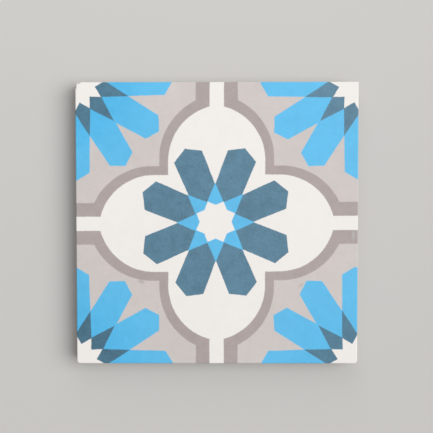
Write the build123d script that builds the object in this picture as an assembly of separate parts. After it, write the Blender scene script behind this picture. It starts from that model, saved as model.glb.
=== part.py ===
from build123d import *
from build123d.topology import SkipClean
from math import cos, pi, radians, sin, tan
import os

# Encaustic cement tile: one pressed square tile, lying face up.
#
# The body is a flat square block of cement. Its edges lean in slightly towards the back, as
# the mould frame leaves them, its face has an eased arris, and its back carries the shallow
# waffle that the press plate leaves to key the bedding mortar.
#
# The coloured inlay is flush with the face. Its outlines are imprinted there, so that every
# field of pigment is a face of its own on the one solid: a quatrefoil with stems and the band
# that draws it, an eight-petalled rosette in the middle, and at each corner a quarter of a
# twelve-petalled rosette, which four tiles complete where they meet.
#
# Millimetres, +Z up. The origin is the middle of the back, in the plane that the tile rests on.

# Body
tile_side = 200.0  # across the face, before its arris is eased
tile_thickness = 16.0
edge_draft = 1.0  # degrees that each edge leans in, from the face to the back
corner_radius = 1.2  # upright corners, at the face
arris_radius = 0.6  # eased edge round the face
back_radius = 0.6  # worn edge round the back

# Waffle of shallow pockets that keys the back
key_rows = 6  # pockets along each side
key_rim = 13.0  # plain margin from the back's edge to the first pocket
key_rib = 7.0  # rib between two pockets
key_depth = 1.2
key_draft = 30.0  # degrees that the pocket walls lean, so that the press plate lifts out
key_corner_radius = 3.0

# Quatrefoil: two crossed bars with vaulted ends and a stem to the middle of each edge
lobe_half_width = 34.3
lobe_spring = 44.7  # from the tile's centre to where a lobe starts to close
stem_width = 10.2
band_width = 6.8  # band that follows the lobes
bar_width = 9.8  # the same band along each side of a stem

# Rosette in the middle, measured from its centre along a petal
centre_petals = 8
centre_half_width = 10.6  # from a petal's axis to its side
centre_shoulder = 50.4  # where a petal starts to close
centre_tip = 56.2

# Rosette that four corners share, measured in the same way
corner_petals = 12
corner_half_width = 10.3
corner_shoulder = 62.6
corner_tip = 69.2

# How far the draft brings each edge in by the time it reaches the back
edge_lean = tile_thickness * tan(radians(edge_draft))
back_side = tile_side - 2 * edge_lean


def tile_body():
    """The block: a rounded square that widens from the back to the face, with its edges eased."""
    outline = RectangleRounded(back_side, back_side, corner_radius - edge_lean)
    body = extrude(outline, amount=tile_thickness, taper=-edge_draft)
    body = fillet(body.edges().group_by(Axis.Z)[-1], arris_radius)
    body = fillet(body.edges().group_by(Axis.Z)[0], back_radius)
    return body.solid()


def key_pockets():
    """The pockets in the back, on a square grid, each narrowing from its mouth inwards."""
    pocket_side = (back_side - 2 * key_rim - (key_rows - 1) * key_rib) / key_rows
    pitch = pocket_side + key_rib
    mouth = RectangleRounded(pocket_side, pocket_side, key_corner_radius)
    pocket = extrude(mouth, amount=key_depth, taper=key_draft)
    return GridLocations(pitch, pitch, key_rows, key_rows) * pocket


def quatrefoil(lobe_growth, stem_growth):
    """Two crossed bars with vaulted ends and their stems, grown outwards by a band's width.

    Each side of a vault is an arc struck from the far side of the stem, so that it runs on
    smoothly from the side of its bar and ends against the stem a little short of a point.
    """
    half_width = lobe_half_width + lobe_growth
    arc_offset = stem_width / 2
    arc = Circle(half_width + arc_offset)
    vault = Pos(-arc_offset, lobe_spring) * arc & Pos(arc_offset, lobe_spring) * arc
    bar = Rectangle(2 * half_width, 2 * lobe_spring) + vault + Rot(0, 0, 180) * vault
    stems = Rectangle(stem_width + 2 * stem_growth, tile_side)
    upright = bar + stems
    return upright + Rot(0, 0, 90) * upright


def star(petals, half_width):
    """The star where three petals cross: points on the petals' axes, notches between them."""
    step = 2 * pi / petals
    point = half_width / sin(step)
    notch = half_width / sin(1.5 * step)
    radii = [point, notch] * petals
    corners = [(r * cos(k * step / 2), r * sin(k * step / 2)) for k, r in enumerate(radii)]
    return make_face(Polyline(*corners, close=True))


def rosette(petals, first_axis, half_width, shoulder, tip):
    """Petals round a star, a strip with a pointed end each, overlapping their neighbours."""
    side = [(0, half_width), (shoulder, half_width)]
    other_side = [(x, -y) for x, y in reversed(side)]
    petal = make_face(Polyline(*side, (tip, 0), *other_side, close=True))
    petal = petal - star(petals, half_width)
    return [Rot(0, 0, first_axis + k * 360 / petals) * petal for k in range(petals)]


def inlay():
    """The outlines of the pigments on the face, which overlap where one lies in another."""
    flat_side = tile_side - 2 * arris_radius
    flat = Rectangle(flat_side, flat_side)
    shapes = [quatrefoil(0, 0), quatrefoil(band_width, bar_width)]
    shapes += rosette(centre_petals, 180 / centre_petals, centre_half_width, centre_shoulder, centre_tip)
    shared = rosette(corner_petals, 0, corner_half_width, corner_shoulder, corner_tip)
    for corner in GridLocations(tile_side, tile_side, 2, 2):
        shapes += [corner * petal for petal in shared]
    on_face = [shape & flat for shape in shapes]
    drawn = [shape for shape in on_face if shape and shape.area > 1]
    return [Pos(0, 0, tile_thickness) * shape for shape in drawn]


# Imprint the inlay on the block, then press the back without merging the imprinted faces
tile = tile_body()
for outline in inlay():
    tile = tile.split(outline, keep=Keep.ALL)[0]
with SkipClean():
    tile = tile - key_pockets()

os.makedirs("parts", exist_ok=True)
export_step(tile, "parts/tile.step")
print("tile: volume", round(tile.volume), "mm3, faces", len(tile.faces()), "valid", tile.is_valid)
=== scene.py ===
# %% [markdown]
# # An encaustic cement tile
#
# A cement tile is made face down in a steel frame. Liquid pigments are poured into the cells of a brass
# stencil, the stencil is lifted out, dry sand and cement go on top, and one stroke of a press turns
# everything into a single slab. So the pattern isn't printed: it is a few millimetres of coloured cement,
# flush with the face, and its lines are as true as the hand that set the stencil down.
#
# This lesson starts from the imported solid, which fixes the tile's size and place, and gives it the
# surface that pressing, handling and pigment leave.

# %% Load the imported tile
import math

import bpy
import numpy as np
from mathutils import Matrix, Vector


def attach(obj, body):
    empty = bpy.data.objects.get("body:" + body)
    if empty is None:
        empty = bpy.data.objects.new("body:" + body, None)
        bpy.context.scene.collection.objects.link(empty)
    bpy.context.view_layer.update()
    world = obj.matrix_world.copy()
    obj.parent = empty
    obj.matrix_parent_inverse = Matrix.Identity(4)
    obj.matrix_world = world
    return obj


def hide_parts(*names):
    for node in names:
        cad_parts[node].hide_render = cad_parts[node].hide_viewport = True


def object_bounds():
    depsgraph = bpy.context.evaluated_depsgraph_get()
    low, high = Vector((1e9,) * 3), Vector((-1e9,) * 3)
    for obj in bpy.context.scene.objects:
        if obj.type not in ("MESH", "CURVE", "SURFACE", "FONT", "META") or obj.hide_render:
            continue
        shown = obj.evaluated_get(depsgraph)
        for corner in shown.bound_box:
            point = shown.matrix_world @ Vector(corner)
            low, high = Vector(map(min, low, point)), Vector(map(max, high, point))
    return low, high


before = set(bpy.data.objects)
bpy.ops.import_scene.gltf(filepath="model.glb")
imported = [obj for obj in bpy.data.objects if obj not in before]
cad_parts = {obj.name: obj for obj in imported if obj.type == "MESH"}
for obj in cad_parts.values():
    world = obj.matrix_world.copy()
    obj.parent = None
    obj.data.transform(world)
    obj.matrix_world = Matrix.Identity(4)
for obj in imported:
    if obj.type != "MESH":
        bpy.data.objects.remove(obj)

cad_low, cad_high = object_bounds()
MM = 0.001  # Blender counts in metres, and the tile is worked out in millimetres
HALF = (cad_high.x - cad_low.x) / 2 / MM
THICKNESS = (cad_high.z - cad_low.z) / MM
print("tile is", round(2 * HALF, 2), "mm across and", round(THICKNESS, 2), "mm thick")

# %% [markdown]
# ## Unevenness
#
# Nothing on a pressed tile is perfectly even: its face waves by less than a tenth of a millimetre, its
# sides are sandy and its edges are nicked. All of that can come from one kind of smooth random height.
# Blender has noise textures for materials, but the shape needs the same idea as an array, so it is
# written out here. The seed makes it the same tile at every run.

# %% Smooth random heights
LATTICE = 64  # lattice points along each axis before the heights repeat


def unevenness(points, cell, seed):
    """Smooth heights from -1 to 1 at points of shape (..., 3), with bumps about one cell wide.

    Random heights sit on a cubic lattice. Inside a cell the eight corner heights are blended, each with the
    product of its three weights, and a weight goes from 0 to 1 as 3t^2 - 2t^3.
    """
    heights = np.random.default_rng(seed).uniform(-1.0, 1.0, (LATTICE,) * 3)
    place = points / cell
    low = np.floor(place).astype(int)
    t = place - low
    t = t * t * (3.0 - 2.0 * t)
    total = np.zeros(points.shape[:-1])
    for corner in np.ndindex(2, 2, 2):
        at = (low + corner) % LATTICE
        weight = np.where(corner, t, 1.0 - t).prod(axis=-1)
        total += weight * heights[at[..., 0], at[..., 1], at[..., 2]]
    return total


sample = unevenness(np.stack([np.linspace(0, 90, 400)] * 3, axis=-1), cell=9.0, seed=1)
print("heights run from", sample.min().round(2), "to", sample.max().round(2))

# %% [markdown]
# ## The edge, from face to back
#
# The edge is what a hand feels first: an arris that the frame leaves crisp and handling wears down, a
# side that leans in by one degree so that the tile leaves its frame, and a blunt edge at the back. It is
# a profile carried round a square path. One could bevel a box, but a bevel is the same everywhere. Here
# every point of the profile is two numbers, how far in and how far down, and both may change along the
# path. That is what lets an edge be worn, nicked and sandy.

# %% Profile of the edge
ARRIS = 0.6  # radius of the eased edge round the face
BACK_EDGE = 0.6  # radius of the blunt edge round the back
ARC_RINGS = 7  # rings on each of these two edges
LEAN = math.tan(math.radians(1.0))  # the side's lean, in for each millimetre down
FACE_INSETS = [2.3, 1.9, 1.55, 1.25, 1.0, 0.8]  # rings on the flat of the face, before the arris
BACK_INSETS = [0.4, 0.9, 1.5]  # rings on the flat of the back, past its edge
SIDE_RINGS = 13


def edge_profile():
    """Inset and depth of each ring, from the face over the arris, down the side and on to the back.

    Both rounded edges are quarter circles. Along the arris the inset shrinks as one less the sine of the
    turn and the depth grows as one less the cosine. Along the back's edge the inset grows as one less the
    cosine and the depth as the sine.
    """
    turn = np.linspace(0.0, math.pi / 2, ARC_RINGS)
    side = np.linspace(ARRIS, THICKNESS - BACK_EDGE, SIDE_RINGS + 2)[1:-1]
    foot = (THICKNESS - ARRIS - BACK_EDGE) * LEAN
    inset = [
        np.array(FACE_INSETS),
        ARRIS * (1 - np.sin(turn)),
        (side - ARRIS) * LEAN,
        foot + BACK_EDGE * (1 - np.cos(turn)),
        foot + BACK_EDGE + np.array(BACK_INSETS),
    ]
    depth = [
        np.zeros(len(FACE_INSETS)),
        ARRIS * (1 - np.cos(turn)),
        side,
        THICKNESS - BACK_EDGE + BACK_EDGE * np.sin(turn),
        np.full(len(BACK_INSETS), THICKNESS),
    ]
    return np.concatenate(inset), np.concatenate(depth)


ring_inset, ring_depth = edge_profile()
print("edge profile has", len(ring_inset), "rings")

# %% Path round the tile
SIDE_POINTS = 300  # points of a ring along each side
CORNER_RADIUS = 0.9  # upright corners that are still crisp
BLUNT_RADIUS = 2.1  # the lower left corner, which has been knocked
LEAST_RADIUS = 0.05  # of a ring so far in that no radius would be left


def square_walk(steps):
    """Points round the square from -1 to 1, anticlockwise from the lower left, with that many to a side."""
    t = np.linspace(-1.0, 1.0, steps, endpoint=False)
    one = np.ones(steps)
    sides = [(t, -one), (one, t), (-t, one), (-one, -t)]
    return np.concatenate([np.stack(side, axis=-1) for side in sides])


def ring_points(walk, inset, depth):
    """Places of the rings: each is a square with rounded corners, shrunk by its inset and sunk by its depth.

    A point of the square is pulled back to the core, the square less its corner radius, and then pushed out
    from there by the radius, straight away from the core.
    """
    blunt = (walk[:, 0] < 0) & (walk[:, 1] < 0)
    radius = np.where(blunt, BLUNT_RADIUS, CORNER_RADIUS)
    radius = np.maximum(radius - inset, LEAST_RADIUS)[..., None]
    reach = (HALF - inset)[..., None]
    outer = walk * reach
    core = np.clip(outer, radius - reach, reach - radius)
    away = outer - core
    plan = core + radius * away / np.linalg.norm(away, axis=-1, keepdims=True)
    return np.concatenate([plan, (THICKNESS - depth)[..., None]], axis=-1)


walk = square_walk(SIDE_POINTS)
rings_by_points = (len(ring_inset), len(walk))
inset = np.broadcast_to(ring_inset[:, None], rings_by_points).copy()
depth = np.broadcast_to(ring_depth[:, None], rings_by_points).copy()
edge = ring_points(walk, inset, depth)
print("edge has", edge.shape[0], "rings of", edge.shape[1], "points")

# %% [markdown]
# ## Wear and nicks
#
# Cement doesn't dent, it spalls: a knock takes off a small flake and leaves a slanting facet. A facet can
# be cut with a Boolean, but it is simpler to say how much is missing at each point of the path, its bite,
# and to push every profile point that lies outside the slanting cut back on to it. The face's arris has a
# light wear all round and a flake at its upper left corner. The back's edge, which nobody sees, is
# rougher.

# %% How much each edge has lost
FACE_WEAR = {"wear": 0.24, "change": 0.07, "cell": 7.0, "nick": 0.9, "nick_from": 0.62, "nick_cell": 2.4}
BACK_WEAR = {"wear": 0.30, "change": 0.16, "cell": 9.0, "nick": 1.1, "nick_from": 0.45, "nick_cell": 3.2}
FLAKES = [  # where on the face's edge, how long and how deep, in millimetres
    (-99.0, 100.0, 2.6, 1.0),
    (-100.0, 97.0, 1.8, 0.75),
    (100.0, -99.5, 1.6, 0.6),
    (62.0, -100.0, 2.0, 0.5),
    (100.0, 41.0, 1.7, 0.5),
]


def worn_by(rim, seed, wear, change, cell, nick, nick_from, nick_cell):
    """Bite along an edge: a wear that changes, and a nick wherever a finer unevenness rises past a level."""
    bite = wear + change * unevenness(rim, cell, seed)
    return bite + nick * np.clip(unevenness(rim, nick_cell, seed + 1) - nick_from, 0.0, None)


def flaked(bite, rim):
    """The same bite with a bell for each flake, wherever the flake goes deeper."""
    for x, y, long, deep in FLAKES:
        away = np.hypot(rim[..., 0] - x, rim[..., 1] - y) / long
        bite = np.maximum(bite, deep * np.exp(-away * away))
    return bite


face_rim = edge[len(FACE_INSETS) + ARC_RINGS - 1]
back_rim = edge[-len(BACK_INSETS) - ARC_RINGS]
face_bite = flaked(worn_by(face_rim, seed=11, **FACE_WEAR), face_rim)
back_bite = worn_by(back_rim, seed=21, **BACK_WEAR)
print("deepest bite:", face_bite.max().round(2), "mm at the face,", back_bite.max().round(2), "at the back")

# %% Cut the bites
def cut_by(bite, inwards, downwards):
    """How far a point moves on to a cut at 45 degrees whose distance from the sharp edge is the bite."""
    return np.clip((bite * math.sqrt(2.0) - inwards - downwards) / 2, 0.0, None)


face_cut = cut_by(face_bite, inset, depth)
back_foot = (THICKNESS - ARRIS) * LEAN
back_cut = cut_by(back_bite, inset - back_foot, THICKNESS - depth)
inset += face_cut + back_cut
depth += face_cut - back_cut
cut_points = [int((cut > 0).sum()) for cut in (face_cut, back_cut)]
print("cuts move", cut_points[0], "points at the face and", cut_points[1], "at the back")

# %% [markdown]
# ## Sandy sides and a face that isn't quite flat
#
# The sides are pressed mortar against steel, so they are flat but grainy. The face is smooth, and waves
# by less than a tenth of a millimetre. Both only ever take material away, which keeps the tile inside the
# size that the solid gives it.

# %% Roughen the sides and wave the face
FACE_WAVE = 0.05  # half of the wave's height
LONG_WAVE = 41.0  # width of the long waves
SHORT_WAVE = 11.0  # width of the short ones
LONG_SHARE = 0.75  # of the height, and the short waves make up the rest
FADE = 3.0  # depth at which the face's wave has died out on the side
SIDE_GRAIN = 0.045  # half of the height of the sand
SAND_WIDTH = 1.3
HOLLOW_WIDTH = 5.0
HOLLOW_SHARE = 0.6  # height of the hollows, as a share of the sand's


def face_wave(points):
    """How far the face lies below its highest plane: a long wave and a short one, neither ever above it."""
    flat = points * (1.0, 1.0, 0.0)
    long_wave = 1 + unevenness(flat, LONG_WAVE, seed=31)
    short_wave = 1 + unevenness(flat, SHORT_WAVE, seed=32)
    return FACE_WAVE * (LONG_SHARE * long_wave + (1 - LONG_SHARE) * short_wave)


def side_grain(points):
    """How far the side lies inside its plane: coarse sand, and hollows between the grains."""
    sand = 1 + unevenness(points, SAND_WIDTH, seed=41)
    hollow = 1 + unevenness(points, HOLLOW_WIDTH, seed=42)
    return SIDE_GRAIN * (sand + HOLLOW_SHARE * hollow)


edge = ring_points(walk, inset, depth)
below_arris = np.clip(ring_depth - ARRIS, 0, 1)
above_back = np.clip(THICKNESS - BACK_EDGE - ring_depth, 0, 1)
inset += side_grain(edge) * (below_arris * above_back)[:, None]
depth += face_wave(edge) * np.clip(1 - ring_depth / FADE, 0, 1)[:, None]
edge = ring_points(walk, inset, depth)
sandy = 2 * SIDE_GRAIN * (1 + HOLLOW_SHARE)
print("sides are sandy by up to", round(sandy, 2), "mm, and the face waves by up to", 2 * FACE_WAVE, "mm")

# %% [markdown]
# ## Face and back
#
# The face is a plain grid of points. The back carries the waffle that keys the bedding mortar: square
# pockets with rounded corners and sloping walls. Each pocket could be cut out on its own. As a height
# over a grid all of them are one formula, the distance inside a rounded square, and only the walls need
# grid lines close together.

# %% Grid of the face
FACE_LINES = 101
FACE_MARGIN = 2.8  # from the tile's edge to the grid's outer line


def flat_grid(lines):
    """Every pair of two lines as a point (x, y, 0), one row for each y."""
    x, y = np.meshgrid(lines, lines)
    return np.stack([x, y, np.zeros_like(x)], axis=-1)


face = flat_grid(np.linspace(FACE_MARGIN - HALF, HALF - FACE_MARGIN, FACE_LINES))
face[..., 2] = THICKNESS - face_wave(face)
print("face grid has", face.shape[0] * face.shape[1], "points")

# %% Sizes of the waffle
FRAME_HALF = 100.0  # half of the steel frame's inside, which the sides would meet if the arris were sharp
KEY_ROWS = 6
KEY_RIM = 13.0  # plain margin round the pockets
KEY_RIB = 7.0
KEY_DEPTH = 1.2
KEY_SLOPE = math.tan(math.radians(30.0))  # how far a pocket's wall leans in for each millimetre of depth
KEY_CORNER = 3.0
back_half = FRAME_HALF - THICKNESS * LEAN
key_side = 2 * (back_half - KEY_RIM - (KEY_ROWS - 1) * KEY_RIB / 2) / KEY_ROWS
key_pitch = key_side + KEY_RIB
print("waffle has", KEY_ROWS ** 2, "pockets of", round(key_side, 2), "mm")

# %% Grid of the back
RIM_LINES = [3.0, 5.0, 7.5, 10.0, 12.0]  # from the back's edge
WALL_LINES = [0.0, 0.25, 0.5, 0.7, 1.1, 1.7, 2.4, 3.2, 4.5, 7.5]  # from a pocket's mouth
RIB_LINES = [1.5, 3.5, 5.5]  # from one pocket to the next
KEY_UNEVEN = 0.03  # a pocket is shallower in places by up to twice this share
KEY_CELL = 6.0  # width of those places


def back_lines():
    """Lines of the back's grid along one axis: the margins, each pocket's walls and middle, and the ribs."""
    wall = np.array(WALL_LINES)
    pocket = np.concatenate([wall, [key_side / 2], key_side - wall[::-1]])
    starts = KEY_RIM + key_pitch * np.arange(KEY_ROWS)
    ribs = starts[:-1, None] + key_side + np.array(RIB_LINES)
    rim = np.array(RIM_LINES)
    lines = [rim, (starts[:, None] + pocket).ravel(), ribs.ravel(), 2 * back_half - rim]
    return np.sort(np.concatenate(lines)) - back_half


def key_depth(points):
    """Depth of the waffle: how far a point lies inside the nearest rounded square, up to the full depth.

    The distance inside comes from the point's offsets from the middle of its pocket, less the square's half
    side without the corner radius: outside the corner's core it is round, elsewhere it is straight.
    """
    row = np.clip(np.round(points[..., :2] / key_pitch + (KEY_ROWS - 1) / 2), 0, KEY_ROWS - 1)
    offset = np.abs(points[..., :2] - (row - (KEY_ROWS - 1) / 2) * key_pitch)
    beyond = offset - (key_side / 2 - KEY_CORNER)
    outside = np.linalg.norm(np.maximum(beyond, 0), axis=-1) + np.minimum(beyond.max(axis=-1), 0)
    return np.clip((KEY_CORNER - outside) / KEY_SLOPE, 0, KEY_DEPTH)


back = flat_grid(back_lines())
shallower = KEY_UNEVEN * (1 + unevenness(back, KEY_CELL, seed=51))
back[..., 2] = key_depth(back) * (1 - shallower)
print("back grid has", back.shape[0], "lines each way")

# %% [markdown]
# ## One closed mesh
#
# The real tile is one piece, so its mesh is one closed skin. The rings have more points than the borders
# of the grids, because edges need the detail and flats don't. Where they meet, one face takes one step of
# the border and several steps of the ring: a lacing of many-sided faces on the flat, where their shape
# can't be seen. Every face lists its points anticlockwise as seen from outside, so that it points
# outwards.

# %% Faces between the points
def grid_faces(numbers):
    """Four-sided faces of a grid of point numbers, anticlockwise where columns run right and rows run up."""
    a, b = numbers[:-1, :-1], numbers[:-1, 1:]
    c, d = numbers[1:, 1:], numbers[1:, :-1]
    return np.stack([a, b, c, d], axis=-1).reshape(-1, 4)


def border_of(numbers):
    """Point numbers round a grid's border, in the same order as the walk round the tile."""
    return np.concatenate([numbers[0, :-1], numbers[:-1, -1], numbers[-1, :0:-1], numbers[:0:-1, 0]])


def lacing(border, ring):
    """Faces that join a border to a ring with several times its points: some of the ring, then back."""
    several = len(ring) // len(border)
    along = np.arange(len(border))[:, None] * several + np.arange(several + 1)
    ends = np.stack([np.roll(border, -1), border], axis=-1)
    return np.concatenate([ring[along % len(ring)], ends], axis=1)


def numbered(points, first):
    """Point numbers of an array of points, from the first one on."""
    return first + np.arange(points[..., 0].size).reshape(points.shape[:-1])


face_numbers = numbered(face, 0)
edge_numbers = numbered(edge, face_numbers.size)
back_numbers = numbered(back, face_numbers.size + edge_numbers.size)
print("points:", face_numbers.size, "face,", edge_numbers.size, "edge,", back_numbers.size, "back")

# %% Join them up
closed_edge = np.concatenate([edge_numbers, edge_numbers[:, :1]], axis=1)
face_rings = len(FACE_INSETS) + ARC_RINGS // 2  # rings that look up, to the middle of the arris
back_rings = len(BACK_INSETS) + ARC_RINGS // 2  # rings that look down
faces_up = [
    grid_faces(face_numbers),
    lacing(border_of(face_numbers), edge_numbers[0]),
    grid_faces(closed_edge[: face_rings + 1])[:, ::-1],
]
faces_aside = [grid_faces(closed_edge[face_rings:-back_rings])[:, ::-1]]
faces_down = [
    grid_faces(closed_edge[-back_rings - 1 :])[:, ::-1],
    lacing(border_of(back_numbers), edge_numbers[-1])[:, ::-1],
    grid_faces(back_numbers)[:, ::-1],
]
polygons = faces_up + faces_aside + faces_down
print("faces:", [len(kind) for kind in polygons])

# %% Build the tile's mesh
SHARP = math.radians(38.0)  # edges that turn by more than this stay crisp


def closed_piece(name, points, kinds):
    """An object from points in millimetres and arrays of faces, each array with one number of sides."""
    mesh = bpy.data.meshes.new(name)
    corners = np.concatenate([kind.ravel() for kind in kinds])
    sides = np.concatenate([np.full(len(kind), kind.shape[1]) for kind in kinds])
    mesh.vertices.add(len(points))
    mesh.vertices.foreach_set("co", (points * MM).ravel())
    mesh.loops.add(len(corners))
    mesh.loops.foreach_set("vertex_index", corners)
    mesh.polygons.add(len(sides))
    mesh.polygons.foreach_set("loop_start", np.cumsum(sides) - sides)
    mesh.update(calc_edges=True)
    mesh.validate()
    mesh.shade_smooth()
    mesh.set_sharp_from_angle(angle=SHARP)
    piece = bpy.data.objects.new(name, mesh)
    bpy.context.collection.objects.link(piece)
    return piece


skin = np.concatenate([face.reshape(-1, 3), edge.reshape(-1, 3), back.reshape(-1, 3)])
tile = closed_piece("pressed_tile", skin, polygons)
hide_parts("tile")
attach(tile, "root")
triangles = sum(len(p.vertices) - 2 for p in tile.data.polygons)
print("pressed_tile:", len(skin), "points,", triangles, "triangles")

# %% [markdown]
# ## Room on the map
#
# To leave Blender, a material is baked: its colours are painted on a flat map of the piece, and the map
# has only so many pixels. Blender can lay a map out by itself, but it gives the back as much room as the
# face. Here the face carries the pattern and the back is plain, so the map's rooms are given one by one:
# most of the map for the face, a strip for each side, and a column for the back. No node reads this map,
# so it changes nothing in the render.

# %% Lay out the map
FACE_ROOM = 0.72  # share of the map's width and height that the face gets
MAP_GAP = 0.004  # left free round each room


def in_room(share, low, high):
    """Shares from 0 to 1, across and up, brought into a room of the map."""
    low = np.asarray(low) + MAP_GAP
    high = np.asarray(high) - MAP_GAP
    return low + share * (high - low)


def seen_flat(kinds, across):
    """Shares for the corners of faces that lie flat: the place on the tile, mirrored if across is -1."""
    return [(skin[kind][..., :2] * (across, 1) / HALF + 1) / 2 for kind in kinds]


def side_strips():
    """Places for the corners of the sides' faces: along each side and down the profile, in its own strip."""
    drop = np.hypot(np.diff(ring_inset), np.diff(ring_depth))[face_rings:-back_rings]
    down = np.concatenate([[0.0], np.cumsum(drop)]) / drop.sum()
    row, column = np.divmod(np.arange(len(faces_aside[0])), len(walk))
    side, step = np.divmod(column, SIDE_POINTS)
    along = (step[:, None] + np.array([0, 1, 1, 0])) / SIDE_POINTS
    up = 1 - down[row[:, None] + np.array([1, 1, 0, 0])]
    height = (1 - FACE_ROOM) / 4
    foot = FACE_ROOM + side[:, None, None] * height
    low = np.concatenate([0 * foot, foot], axis=-1)
    high = np.concatenate([0 * foot + 1, foot + height], axis=-1)
    return in_room(np.stack([along, up], axis=-1), low, high)


rooms = [in_room(share, (0, 0), (FACE_ROOM, FACE_ROOM)) for share in seen_flat(faces_up, 1)]
rooms += [side_strips()]
rooms += [in_room(share, (FACE_ROOM, 0), (1, FACE_ROOM)) for share in seen_flat(faces_down, -1)]
bake_map = tile.data.uv_layers.new(name="OFBake")
bake_map.uv.foreach_set("vector", np.concatenate([room.reshape(-1, 2) for room in rooms]).ravel())
print("map has", sum(room[..., 0].size for room in rooms), "corners for", len(tile.data.loops))

# %% [markdown]
# ## Where the tile is worn
#
# A flake takes pigment off and shows the mortar under it. A material could look for edges by itself, but
# it wouldn't find the same ones. So each point of the mesh carries a number of its own, an attribute,
# from 0 where the tile is whole to 1 where it is worn, and the material reads it by name.

# %% Mark what is worn
FULLY_WORN = 0.25  # millimetres that a point has moved in by when it counts as worn right through
worn = np.clip((face_cut + back_cut) / FULLY_WORN, 0, 1)
worn_all = np.concatenate([np.zeros(face_numbers.size), worn.ravel(), np.zeros(back_numbers.size)])
marks = tile.data.attributes.new("worn", "FLOAT", "POINT")
marks.data.foreach_set("value", worn_all)
print("points that are more than half worn:", int((worn_all > 0.5).sum()))

# %% [markdown]
# ## Writing a material as sums
#
# The pattern is geometry: petals, arcs and bands at exact sizes. It could be painted on an image, but an
# image has pixels and needs a file. Worked out in the material from the place of each point, it is sharp
# at any distance. That takes hundreds of Math nodes, so they are written as Python sums. An Amount stands
# for a socket, and each operator on it adds the node that does the sum. A Finish is the material that
# they go into.

# %% Sums that become nodes
class Amount:
    """A number that varies over the surface: a socket that Python's operators build on."""

    def __init__(self, finish, socket):
        self.finish = finish
        self.socket = socket

    def __add__(self, other):
        return self.finish.maths("ADD", self, other)

    def __sub__(self, other):
        return self.finish.maths("SUBTRACT", self, other)

    def __rsub__(self, other):
        return self.finish.maths("SUBTRACT", other, self)

    def __mul__(self, other):
        return self.finish.maths("MULTIPLY", self, other)

    def __truediv__(self, other):
        return self.finish.maths("DIVIDE", self, other)

    def __abs__(self):
        return self.finish.maths("ABSOLUTE", self)

    __radd__ = __add__
    __rmul__ = __mul__


class Finish:
    """A material under construction, and the one place where its nodes are made."""

    def __init__(self, name):
        self.material = bpy.data.materials.new(name)
        self.material.use_nodes = True
        self.tree = self.material.node_tree
        self.tree.nodes.clear()

    def node(self, kind, settings=None, sockets=None):
        """One node: first its settings, which can change its sockets, then what its sockets hold or read."""
        made = self.tree.nodes.new("ShaderNode" + kind)
        for name, value in (settings or {}).items():
            setattr(made, name, value)
        for name, value in (sockets or {}).items():
            value = getattr(value, "socket", value)
            if isinstance(value, bpy.types.NodeSocket):
                self.tree.links.new(value, made.inputs[name])
            else:
                made.inputs[name].default_value = value
        return made

    def maths(self, operation, *values):
        """One Math node on amounts and plain numbers, as a new amount."""
        return Amount(self, self.node("Math", {"operation": operation}, dict(enumerate(values))).outputs[0])


tile_finish = Finish("pressed_cement")
print("started the material", tile_finish.material.name)

# %% Small helpers on amounts
def most(a, b):
    """The larger of an amount and another, which as distances is where both shapes overlap."""
    return a.finish.maths("MAXIMUM", a, b)


def least(a, b):
    """The smaller of an amount and another, which as distances is both shapes together."""
    return a.finish.maths("MINIMUM", a, b)


def length(a, b):
    """Length of the diagonal of two amounts, by Pythagoras."""
    return a.finish.maths("SQRT", a * a + b * b)


def rise(amount, low, high):
    """0 below low and 1 above high, with a smooth step between them."""
    step = {"interpolation_type": "SMOOTHSTEP"}
    limits = {"Value": amount, "From Min": low, "From Max": high}
    return Amount(amount.finish, amount.finish.node("MapRange", step, limits).outputs["Result"])


def mixed(share, under, over):
    """The colour over laid on the colour under, by a share from 0 to 1."""
    made = share.finish.node("Mix", {"data_type": "RGBA"}, {0: share, 6: under, 7: over})
    return made.outputs[2]


def toned(colour, strength):
    """A colour made lighter or darker all over, by an amount about 1."""
    vector = colour[:3] if isinstance(colour, tuple) else colour
    made = strength.finish.node("VectorMath", {"operation": "SCALE"}, {0: vector, 3: strength})
    return made.outputs[0]


place = tile_finish.node("TexCoord").outputs["Object"]
print("patterns read", place.name, "coordinates")

# %% [markdown]
# ## Noise in the pigment
#
# Pigment is stirred by hand and poured, so it has clouds as wide as a finger, and under the press it sets
# with a grain as fine as sand. A Noise node makes both. Its scale counts bumps to the metre here, because
# the coordinates are in metres: 120 gives clouds of about 8 mm, and 900 a grain of about a millimetre.

# %% Clouds, grain and wander
NOISE_SPAN = 4  # a noise mostly keeps within a quarter of its middle, so this spreads it from -1 to 1


def noise(per_metre, detail=2.0, rough=0.5, output="Fac"):
    """Noise on the object's own coordinates, with about that many bumps to the metre."""
    sockets = {"Vector": place, "Scale": per_metre, "Detail": detail, "Roughness": rough}
    return tile_finish.node("TexNoise", {"noise_dimensions": "3D"}, sockets).outputs[output]


def centred(socket):
    """A noise made to vary about 0, from about -1 to 1."""
    return (Amount(tile_finish, socket) - 0.5) * NOISE_SPAN


def parts(vector):
    """The three components of a vector or colour as amounts."""
    made = tile_finish.node("SeparateXYZ", None, {0: vector})
    return [Amount(tile_finish, socket) for socket in made.outputs]


cloud = centred(noise(120, detail=4, rough=0.6))
patch = centred(noise(28))
grain = centred(noise(900, detail=3, rough=0.6))
wander = parts(noise(75, output="Color"))
fray = parts(noise(650, output="Color"))
print("noise nodes:", sum(node.type == "TEX_NOISE" for node in tile_finish.tree.nodes))

# %% Where a point is, in millimetres
WANDER = 0.5  # how far a poured line strays over a few centimetres, in millimetres
FRAY = 0.5  # how far it strays from one grain to the next
x_true, y_true, z_true = [part / MM for part in parts(place)]
x = x_true + (wander[0] - 0.5) * WANDER + (fray[0] - 0.5) * FRAY
y = y_true + (wander[1] - 0.5) * WANDER + (fray[1] - 0.5) * FRAY
print("lines stray by up to", WANDER / 2 + FRAY / 2, "mm")

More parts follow.
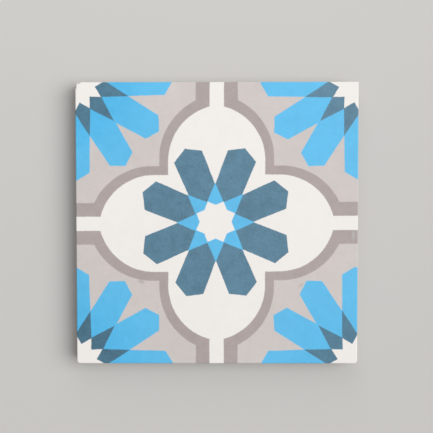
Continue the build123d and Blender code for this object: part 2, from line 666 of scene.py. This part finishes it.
# %% [markdown]
# ## Setting a stencil down
#
# Each group of shapes was set down on its own, and none of them quite true: the rosette in the middle
# sits a millimetre to the upper left, its star half a millimetre higher still, and the corners are each
# turned and shifted a little. A group's own coordinates are the tile's, moved, sheared, stretched and
# turned back. That keeps the shapes themselves exact, and puts the hand's error in one place.

# %% A group's own coordinates
def set_down(u, v, right_by, up_by, turned, sheared, stretched):
    """The same point as the group sees it: less its shift, then sheared, stretched and turned back.

    The shear takes a share of each coordinate from the other. The stretch makes the group narrower by a
    share and taller by the same. The turn is in degrees and so small that it is a shear in opposite
    directions.
    """
    u = u - right_by
    v = v - up_by
    u, v = u - sheared * v, v - sheared * u
    u, v = u * (1 + stretched), v * (1 - stretched)
    turn = turned * math.radians(1)
    return u + turn * v, v - turn * u


print("one degree moves a point that is 100 mm out by", round(100 * math.radians(1), 2), "mm")

# %% A value for each corner
right = tile_finish.maths("GREATER_THAN", x_true, 0)
top = tile_finish.maths("GREATER_THAN", y_true, 0)
right_top = right * top


def by_corner(upper_left, upper_right, lower_right, lower_left):
    """An amount with one value in each quarter of the tile."""
    to_right = lower_right - lower_left
    to_top = upper_left - lower_left
    to_both = upper_right - lower_left - to_right - to_top
    return lower_left + to_right * right + to_top * top + to_both * right_top


print("material has", len(tile_finish.tree.nodes), "nodes so far")

# %% Set each group down
# Each has its shift to the right and up, in millimetres, its turn in degrees, its shear and its stretch
FOIL_SET_DOWN = (-0.15, 0.2, 0.05, 0.0025, 0.0)
CENTRE_SET_DOWN = (-0.95, 0.85, 0.45, 0.0, 0.0075)
STAR_SET_DOWN = (-0.9, 1.35, 0.05, 0.005, 0.024)
CORNER_AT = 101.0  # the corner rosettes are struck from the middle of a joint, just outside the tile
CORNERS_SET_DOWN = [  # upper left, upper right, lower right and lower left
    (-CORNER_AT - 0.25, CORNER_AT - 0.2, 0.65, -0.015, 0.003),
    (CORNER_AT + 0.4, CORNER_AT - 0.3, 0.05, 0.023, -0.008),
    (CORNER_AT + 0.2, -CORNER_AT - 0.05, 0.95, -0.027, 0.004),
    (-CORNER_AT, -CORNER_AT - 0.2, 0.15, 0.010, 0.002),
]

foil_x, foil_y = set_down(x, y, *FOIL_SET_DOWN)
centre_x, centre_y = set_down(x, y, *CENTRE_SET_DOWN)
star_x, star_y = set_down(x, y, *STAR_SET_DOWN)
corner_x, corner_y = set_down(x, y, *[by_corner(*values) for values in zip(*CORNERS_SET_DOWN)])
print("set down the quatrefoil, the middle, its star and", len(CORNERS_SET_DOWN), "corners")

# %% [markdown]
# ## Quatrefoil
#
# Every shape is given as a distance from its outline, negative inside. The quatrefoil is two crossed bars
# with vaulted ends: each side of a vault is an arc struck from the far side of the stem. It could be
# joined from circles and squares, but it is the same in all four directions, so the sum only needs the
# larger and the smaller of the two coordinates. The band that draws it is a second, larger quatrefoil
# poured first.

# %% Distances from the quatrefoil and its band
LOBE_HALF_WIDTH = 34.4
LOBE_SPRING = 44.4  # from the middle to where a lobe starts to close
STEM_HALF_WIDTH = 5.1
BAND_HALF_WIDTH = 40.7  # to the outside of the band round the lobes
BAND_SPRING = 45.7  # the band closes a little later, so that it is widest on the shoulders
BAR_HALF_WIDTH = 14.85  # to the outside of the same band along a stem


def quatrefoil(u, v, half_width, spring, stem_half_width):
    """Distance from the outline of two crossed bars with vaulted ends, and of their stems.

    A vault's arc is the distance from a point on the far side of the stem, less the arc's radius.
    """
    near = least(abs(u), abs(v))
    far = most(abs(u), abs(v))
    arc = length(near + STEM_HALF_WIDTH, most(far - spring, 0)) - (half_width + STEM_HALF_WIDTH)
    return least(arc, near - stem_half_width)


foil = quatrefoil(foil_x, foil_y, LOBE_HALF_WIDTH, LOBE_SPRING, STEM_HALF_WIDTH)
band = quatrefoil(foil_x, foil_y, BAND_HALF_WIDTH, BAND_SPRING, BAR_HALF_WIDTH)
print("quatrefoil takes the material to", len(tile_finish.tree.nodes), "nodes")

# %% [markdown]
# ## Rosettes
#
# A petal is a strip with a pointed end, the kite is where two petals overlap, and the star in the middle
# is where three of them would cross. A rosette could take one sum for each petal, but at any point only
# the two nearest petals matter, and their axes follow from the point's angle. A stencil bent from brass
# strip isn't that exact: its petals bend a little where they cross, so each kind of rosette has a few
# small numbers more.

# %% Sizes of the rosettes
ROSETTES = {  # in the middle and at the corners, in millimetres and radians
    "petals": (8, 12),
    "first": (math.pi / 8, 0.0),  # angle of the first petal
    "half_width": (10.25, 10.45),
    "shoulder": (50.6, 63.2),  # from the middle to where a petal starts to close
    "tip": (56.3, 69.5),
    "edge_reach": (0.0, 0.6),
    "taper": (-0.023, 0.038),
    "flare": (0.016, 0.027),
    "spread": (0.0, math.radians(0.5)),
    "kite_growth": (0.45, 0.3),
    "draw_in": (0.0, 0.045),
}
CENTRE_PETALS = {name: sizes[0] for name, sizes in ROSETTES.items()}
CORNER_PETALS = {name: sizes[1] for name, sizes in ROSETTES.items()}
CENTRE_STAR = 10.7  # from the middle to the line of a star's side
CORNER_STAR = 11.0
print("rosettes have", CENTRE_PETALS["petals"], "and", CORNER_PETALS["petals"], "petals")

# %% Distances from petals, kites and stars
def polar(u, v, petals, first):
    """How far a point is from the middle, its angle from the first petal, and the nearest petal's angle."""
    finish = u.finish
    step = 2 * math.pi / petals
    angle = finish.maths("ARCTAN2", v, u) - first
    return length(u, v), angle, finish.maths("ROUND", angle / step) * step


def rosette(
    u, v, petals, first, half_width, shoulder, tip, edge_reach, taper, flare, spread, kite_growth, draw_in
):
    """Distances from the outlines of the petals, and of the kites where two overlap.

    A petal is the larger of two distances: across its axis less its half width, and along the slanting end
    from its shoulder to its tip. Its sides bend where they cross its neighbours': they close by the taper
    from there to the tip, and open by the flare from there to the star. A spread turns the petals beside
    each diagonal towards it, and those along the tile's edges reach further. The petals' outline is the
    nearer of the two nearest petals. The kites are where both hold, grown a little, and those on a diagonal
    are drawn in towards the star.
    """
    finish = u.finish
    step = 2 * math.pi / petals
    radius, angle, nearest = polar(u, v, petals, first)
    aside = finish.maths("SIGN", angle - nearest) * step
    slant = math.hypot(half_width, tip - shoulder)
    crossing = half_width / math.tan(step / 2)

    def strip(axis):
        turned = angle - axis - spread * finish.maths("SINE", axis * 4)
        across = abs(radius * finish.maths("SINE", turned))
        along = radius * finish.maths("COSINE", turned)
        side = across - half_width + most(along - crossing, 0) * taper + least(along - crossing, 0) * flare
        past_tip = along - tip - edge_reach * finish.maths("COSINE", axis * 4)
        end = past_tip * (half_width / slant) + across * ((tip - shoulder) / slant)
        return most(side, end)

    one, other = strip(nearest), strip(nearest + aside)
    diagonal = finish.maths("SINE", angle * 2)
    past_star = most(radius - half_width / math.sin(step), 0)
    kite = most(one, other) - kite_growth + past_star * diagonal * diagonal * draw_in
    return least(one, other), kite


def star_of(u, v, petals, first, width):
    """Distance from the outline of a star, whose sides lie across the petals one step further on."""
    radius, angle, nearest = polar(u, v, petals, first)
    return radius * u.finish.maths("SINE", abs(angle - nearest) + 2 * math.pi / petals) - width


petal, kite = rosette(centre_x, centre_y, **CENTRE_PETALS)
star = star_of(star_x, star_y, CENTRE_PETALS["petals"], CENTRE_PETALS["first"], CENTRE_STAR)
corner_petal, corner_kite = rosette(corner_x, corner_y, **CORNER_PETALS)
corner_star = star_of(corner_x, corner_y, CORNER_PETALS["petals"], CORNER_PETALS["first"], CORNER_STAR)
print("rosettes take it to", len(tile_finish.tree.nodes), "nodes")

# %% [markdown]
# ## Five pigments
#
# The tile has five: white, a pale warm grey for the field, taupe for the band, sky blue and slate. Each
# has its own habit. White and the greys are smooth, blue is cloudy and deepens where it is poured thick,
# and slate is the most mottled, with dark specks of undissolved pigment. A flat colour would look
# printed, so every pigment is toned by the clouds and the grain, each by its own share.

# %% Mix the pigments
def pigment(red, green, blue):
    """A colour as it looks, from 0 to 255, made into the linear numbers that a material works in."""
    looks = np.array([red, green, blue]) / 255.0
    linear = np.where(looks <= 0.04045, looks / 12.92, ((looks + 0.055) / 1.055) ** 2.4)
    return (*linear.tolist(), 1.0)


def stirred(colour, patchy, cloudy, grainy):
    """A pigment toned by wide patches, clouds and grain, each by its own share."""
    return toned(colour, 1 + patch * patchy + cloud * cloudy + grain * grainy)


white = stirred(pigment(242, 238, 234), patchy=0.010, cloudy=0.012, grainy=0.02)
field = stirred(pigment(207, 199, 196), patchy=0.03, cloudy=0.03, grainy=0.035)
taupe = stirred(pigment(173, 161, 159), patchy=0.035, cloudy=0.05, grainy=0.07)
blue = stirred(pigment(92, 189, 236), patchy=0.035, cloudy=0.045, grainy=0.04)
deep_blue = stirred(pigment(76, 184, 235), patchy=0.035, cloudy=0.045, grainy=0.04)
slate = stirred(pigment(86, 127, 150), patchy=0.06, cloudy=0.14, grainy=0.16)
cold_slate = stirred(pigment(80, 127, 152), patchy=0.06, cloudy=0.14, grainy=0.16)
print("mixed 5 pigments, the blue and the slate twice")

# %% [markdown]
# ## Four corners, four pours, and painted sheen and shade
#
# The cells of the stencil are filled one after another, and no two fillings are alike. Towards the left
# corners the blue lies thick and looks deeper, at the lower right a little, and at the upper right not at
# all. The slate of the corners is colder than that of the middle, except at the upper right. Each corner
# is also toned: the blue a touch lighter at the upper right, and the slate lighter there and darker
# elsewhere, darkest at the lower left. That toning is partly the pigment and partly painted sheen and
# shade, lighter towards the light on the right. Four separate materials could say that. Here one amount
# has a value for each corner.

# %% How the corners differ
THICK_TO = 24  # how far from a rosette's middle the blue is thick, in millimetres
THIN_FROM = 62  # from where it is thin
THICK_STRAY = 6  # how far the clouds move these limits
from_corner = length(corner_x, corner_y)
near_corner = 1 - rise(from_corner + cloud * THICK_STRAY, THICK_TO, THIN_FROM)
thick = near_corner * by_corner(1.0, 0.0, 0.3, 0.8)
# by_corner tones each corner: the blue lighter at the upper right, and the slate darkest at the lower left;
# this is partly pigment and partly painted sheen and shade
corner_blue_and_painted_light = toned(mixed(thick, blue, deep_blue), by_corner(1.0, 1.03, 1.0, 1.0))
corner_slate_and_painted_light = toned(mixed(right_top, cold_slate, slate), by_corner(0.85, 1.03, 0.90, 0.74))
print("blue is thick within", THICK_TO, "mm and thin from", THIN_FROM, "mm on")

# %% Pour them, the lowest first
SOFT = 0.3  # half of the width over which one pigment gives way to the next, in millimetres


def pour(under, over, distance):
    """A pigment poured inside an outline, over what is there already."""
    return mixed(1 - rise(distance, -SOFT, SOFT), under, over)


LAYERS = [
    (corner_blue_and_painted_light, corner_petal),
    (corner_slate_and_painted_light, corner_kite),
    (white, corner_star),
    (taupe, band),
    (white, foil),
    (slate, petal),
    (blue, kite),
    (white, star),
]
inlay = field
for over, outline in LAYERS:
    inlay = pour(inlay, over, outline)
print("poured", len(LAYERS), "layers over the field")

# %% [markdown]
# ## Marks of use
#
# A few marks tell this tile from a drawing of it: a grey smudge low on the left, a fainter one on the
# right, a pale scuff in the band at the right edge, specks in the slate, and pinholes where air was
# caught under the press. Smudges are soft ellipses broken up by the grain. Specks and pinholes come from
# a Voronoi texture, which scatters points with no two alike. The pinholes are also drawn darker: painted
# shade in the holes.

# %% Smudges
SMUDGE = pigment(140, 130, 128)
SCUFF = pigment(190, 196, 194)
MARKS = [  # colour, place on the face, reach along and across, lean in degrees, strength
    (SMUDGE, (-54.0, -41.4), (3.2, 1.8), -12, 0.38),
    (SMUDGE, (59.8, -43.9), (4.2, 1.5), 36, 0.26),
    (SCUFF, (96.8, -8.2), (1.4, 4.5), 0, 0.5),
]
FULL_WITHIN = 0.15  # share of its reach within which a mark has its full strength
BROKEN_BY_CLOUD = 0.15  # shares of its reach by which its outline is broken up
BROKEN_BY_GRAIN = 0.12


def smudge(at, reach, lean, strength):
    """A soft ellipse about a place on the face, leaning by an angle, broken up by clouds and grain."""
    lean = math.radians(lean)
    dx, dy = x_true - at[0], y_true - at[1]
    along = dx * math.cos(lean) + dy * math.sin(lean)
    across = dy * math.cos(lean) - dx * math.sin(lean)
    away = length(along / reach[0], across / reach[1])
    away = away + cloud * BROKEN_BY_CLOUD + grain * BROKEN_BY_GRAIN
    return (1 - rise(away, FULL_WITHIN, 1.0)) * strength


face_colour = inlay
for tint, at, reach, lean, strength in MARKS:
    face_colour = mixed(smudge(at, reach, lean, strength), face_colour, tint)
print("laid", len(MARKS), "marks")

# %% Specks, and painted shade in the pinholes
DOT_CORE = 0.4  # share of a dot's size within which it is full
SPECK_MARGIN = 0.6  # how far specks keep inside the slate's outline, in millimetres
SPECK_TONE = 0.20  # how much darker a speck is
# painted shade: how much darker a pinhole is drawn on the face
PINHOLE_PAINTED_SHADE = 0.12


def scattered(per_metre, size, share):
    """Dots at random points, about that many to the metre.

    A cell has a dot if its own random number is under the share. The size is a share of the cells' spacing.
    """
    sockets = {"Vector": place, "Scale": per_metre, "Randomness": 1.0}
    cells = tile_finish.node("TexVoronoi", {"voronoi_dimensions": "3D", "feature": "F1"}, sockets)
    chosen = tile_finish.maths("LESS_THAN", parts(cells.outputs["Color"])[0], share)
    near = Amount(tile_finish, cells.outputs["Distance"])
    return chosen * (1 - rise(near, size * DOT_CORE, size))


slate_outline = least(most(petal, 0 - kite), most(corner_kite, 0 - corner_star))
in_slate = 1 - rise(slate_outline, -SPECK_MARGIN, 0.0)
speck = scattered(300, size=0.24, share=0.35) * in_slate
pinhole = scattered(420, size=0.16, share=0.06)
# specks are darker pigment, and the pinholes are darkened as painted shade
face_colour = toned(face_colour, 1 - speck * SPECK_TONE - pinhole * PINHOLE_PAINTED_SHADE)
print("scattered specks in the slate and pinholes all over")

# %% [markdown]
# ## Cement body
#
# Below the colours comes the mortar that they were pressed into: grey, sandy and dry, with lighter and
# darker grains and a bloom of lime in places. It could be a second material on the faces below the
# colours, but the pigments end in an uneven line a few millimetres down the sides, which follows no edge
# of the mesh. So both are in one material, and a mask says where the mortar is bare: below that line, and
# in the worn places.

# %% Mortar
MORTAR = pigment(170, 166, 159)
LIME = pigment(205, 202, 196)
CLOUD_TONE = 0.05  # how much lighter or darker patches and clouds are
SAND_TONE = 0.16
DARK_GRAIN_TONE = 0.35
HOLE_PAINTED_SHADE = 0.4  # pinholes are deeper in the mortar than in the face
# painted shade in the pinholes of the mortar, darker than on the face
LIME_SHARE = 0.35  # of the colour, where the bloom is full
sand = centred(noise(1300, detail=3, rough=0.65))
lime = rise(centred(noise(28, detail=4, rough=0.6)), 0.1, 1.2)
dark_grain = scattered(700, size=0.30, share=0.30)
mortar = toned(MORTAR, 1 + patch * CLOUD_TONE + cloud * CLOUD_TONE + sand * SAND_TONE)
mortar = mixed(lime * LIME_SHARE, mortar, LIME)
# dark grains are the sand's own colour, and the pinholes are darkened as painted shade
mortar = toned(mortar, 1 - dark_grain * DARK_GRAIN_TONE - pinhole * HOLE_PAINTED_SHADE)
print("mixed the mortar")

# %% Where it is bare
COLOUR_DEPTH = 2.6  # how far the pigments reach down, in millimetres
LINE_SOFT = 0.25  # half of the width of the line that they end in
CLOUD_STRAY = 0.7  # how far clouds, ripples and grain move that line
RIPPLE_STRAY = 0.5
GRAIN_STRAY = 0.25
WORN_FROM = 0.25  # how worn a point is where the mortar starts to show
WORN_TO = 0.75  # and where it shows the most
WORN_FRAY = 0.08  # how far the grain moves these
FLAKE_BARE = 0.55  # how much of the mortar shows then
ripple = centred(noise(180))
line = COLOUR_DEPTH + cloud * CLOUD_STRAY + ripple * RIPPLE_STRAY + grain * GRAIN_STRAY
flake = Amount(tile_finish, tile_finish.node("Attribute", {"attribute_name": "worn"}).outputs["Fac"])
flake = rise(flake + grain * WORN_FRAY, WORN_FROM, WORN_TO)
below_face = THICKNESS - z_true
bare = most(rise(below_face - line, -LINE_SOFT, LINE_SOFT), flake * FLAKE_BARE)
colour = mixed(bare, face_colour, mortar)
print("mortar shows below", COLOUR_DEPTH, "mm and in the flakes")

# %% [markdown]
# ## Feel of the surface
#
# The face was pressed against oiled steel, so it is dense and smooth, with the dull sheen of an eggshell.
# The mortar is matt. Roughness carries that difference, and a Bump node gives the grain that is too fine
# for the mesh. A bump only tilts the light, so it is kept to a few hundredths of a millimetre.

# %% Put the finish on the tile
FACE_ROUGHNESS = 0.55
MORTAR_ROUGHNESS = 0.92
ROUGHNESS_CHANGE = 0.03  # from cloud to cloud and from grain to grain
PINHOLE_ROUGHNESS = 0.3  # more than round it
RELIEF = 0.05 * MM  # height of the bump
FACE_GRAIN = 0.12  # shares of that height
FACE_HOLE = 0.8
MORTAR_SAND = 0.7
MORTAR_GRAIN = 0.5
CEMENT_IOR = 1.5
face_rough = FACE_ROUGHNESS + cloud * ROUGHNESS_CHANGE + grain * ROUGHNESS_CHANGE
face_rough = face_rough + pinhole * PINHOLE_ROUGHNESS
roughness = face_rough + bare * (MORTAR_ROUGHNESS - FACE_ROUGHNESS)
face_relief = grain * FACE_GRAIN - pinhole * FACE_HOLE
mortar_relief = sand * MORTAR_SAND - dark_grain * MORTAR_GRAIN - pinhole
relief = face_relief * (1 - bare) + mortar_relief * bare
bump = tile_finish.node("Bump", None, {"Strength": 1.0, "Distance": RELIEF, "Height": relief})
shader = tile_finish.node(
    "BsdfPrincipled",
    None,
    {"Base Color": colour, "Roughness": roughness, "Normal": bump.outputs[0], "IOR": CEMENT_IOR},
)
tile_finish.node("OutputMaterial", None, {"Surface": shader.outputs[0]})
tile.data.materials.append(tile_finish.material)
print("finish has", len(tile_finish.tree.nodes), "nodes")

# %% [markdown]
# ## Floor
#
# The tile lies on a plain pale floor. The floor isn't part of the object. It is a touch darker than the
# white of the tile, so that the white edges still stand out against it.

# %% Lay the floor
FLOOR_REACH = 30.0  # metres, far enough to fill the view from a low angle
FLOOR_COLOUR = pigment(204, 202, 199)
FLOOR_ROUGHNESS = 0.9
floor_corners = square_walk(1) * FLOOR_REACH
floor_mesh = bpy.data.meshes.new("floor")
floor_mesh.from_pydata([(*corner, 0.0) for corner in floor_corners.tolist()], [], [(0, 1, 2, 3)])
floor = bpy.data.objects.new("floor", floor_mesh)
bpy.context.collection.objects.link(floor)
floor_finish = Finish("pale_floor")
floor_sockets = {"Base Color": FLOOR_COLOUR, "Roughness": FLOOR_ROUGHNESS}
floor_shader = floor_finish.node("BsdfPrincipled", None, floor_sockets)
floor_finish.node("OutputMaterial", None, {"Surface": floor_shader.outputs[0]})
floor_mesh.materials.append(floor_finish.material)
print("floor is", 2 * FLOOR_REACH, "m across")

# %% [markdown]
# ## Light
#
# The light is a bright window, high on the right, in a pale room. The window is a Sun lamp with a wide
# angle, which gives a soft shadow and lights the whole floor alike. The room is the world's even light. A
# soft lamp stands past the tile's upper edge and makes that side a little brighter. It is low, so that
# its gleam stays off the face. The three shares add up to about 1, the level at which a colour renders
# about as it was written.

# %% Set the light
ROOM_SHARE = 0.34
WINDOW_SHARE = 0.55
LAMP_SHARE = 0.105
WINDOW_HEIGHT = math.radians(52.0)  # of the window's middle above the floor
WINDOW_SIDE = math.radians(8.0)  # how far it is from square on to the right, towards the top
WINDOW_WIDTH = math.radians(50.0)

scene = bpy.context.scene
scene.view_settings.view_transform = "Standard"
world = bpy.data.worlds.new("pale_room")
world.use_nodes = True
room = world.node_tree.nodes["Background"].inputs
room["Color"].default_value = (1.0, 1.0, 1.0, 1.0)
room["Strength"].default_value = ROOM_SHARE
scene.world = world

window = bpy.data.lights.new("window", "SUN")
window.energy = WINDOW_SHARE * math.pi / math.sin(WINDOW_HEIGHT)
window.angle = WINDOW_WIDTH
window_lamp = bpy.data.objects.new("window", window)
window_lamp.rotation_euler = (0.0, math.pi / 2 - WINDOW_HEIGHT, WINDOW_SIDE)
bpy.context.collection.objects.link(window_lamp)
print("room, window and lamp shares:", ROOM_SHARE, WINDOW_SHARE, LAMP_SHARE)

# %% Stand the lamp past the upper edge
LAMP_AWAY = 0.6  # metres from the tile's middle
LAMP_HEIGHT = 0.4  # above the face
LAMP_SIZE = 0.5
lamp_reach = math.hypot(LAMP_AWAY, LAMP_HEIGHT)
lamp = bpy.data.lights.new("lamp", "AREA")
lamp.size = LAMP_SIZE
lamp.energy = LAMP_SHARE * math.pi ** 2 * lamp_reach ** 3 / LAMP_HEIGHT
soft_lamp = bpy.data.objects.new("lamp", lamp)
soft_lamp.location = (0.0, LAMP_AWAY, LAMP_HEIGHT + THICKNESS * MM)
soft_lamp.rotation_euler = (-math.atan2(LAMP_AWAY, LAMP_HEIGHT), 0.0, 0.0)
soft_lamp.visible_camera = False
bpy.context.collection.objects.link(soft_lamp)
print("lamp:", round(lamp.energy, 2), "W at", round(lamp_reach, 2), "m")

# %% [markdown]
# ## Camera
#
# The view is from above, by hand: the camera is tilted by about two degrees, so that the tile's upper
# edge is a little nearer and looks a little longer than its lower one. Lens, place and turn were settled
# together, so that the four corners of the face fall where they are seen. The last lines work out those
# four places again, in pixels of a square picture.

# %% Place the camera
LENS = 70.0  # on a 36 mm sensor
SENSOR = 36.0
PICTURE = 433  # pixels along each side
CAMERA_AT = (0.0036, 0.0285, 0.6128)
CAMERA_TURN = [math.radians(angle) for angle in (-2.25, 0.37, -0.05)]

camera_data = bpy.data.cameras.new("camera")
camera_data.lens = LENS
camera_data.sensor_width = SENSOR
camera = bpy.data.objects.new("camera", camera_data)
camera.location = CAMERA_AT
camera.rotation_euler = CAMERA_TURN
bpy.context.collection.objects.link(camera)
scene.camera = camera

corner_places = square_walk(1) * HALF * MM
seen = np.column_stack([corner_places, np.full(4, THICKNESS * MM)]) - np.array(CAMERA_AT)
seen = seen @ np.array(camera.rotation_euler.to_matrix())
pixels = PICTURE / 2 + seen[:, :2] / -seen[:, 2:] * (1, -1) * (LENS / SENSOR * PICTURE)
print("corners of the face, in pixels:", pixels.round(1).tolist())

# %% [markdown]
#
# The finished tile keeps within the size of the imported solid.

# %% Finish
bpy.context.view_layer.update()
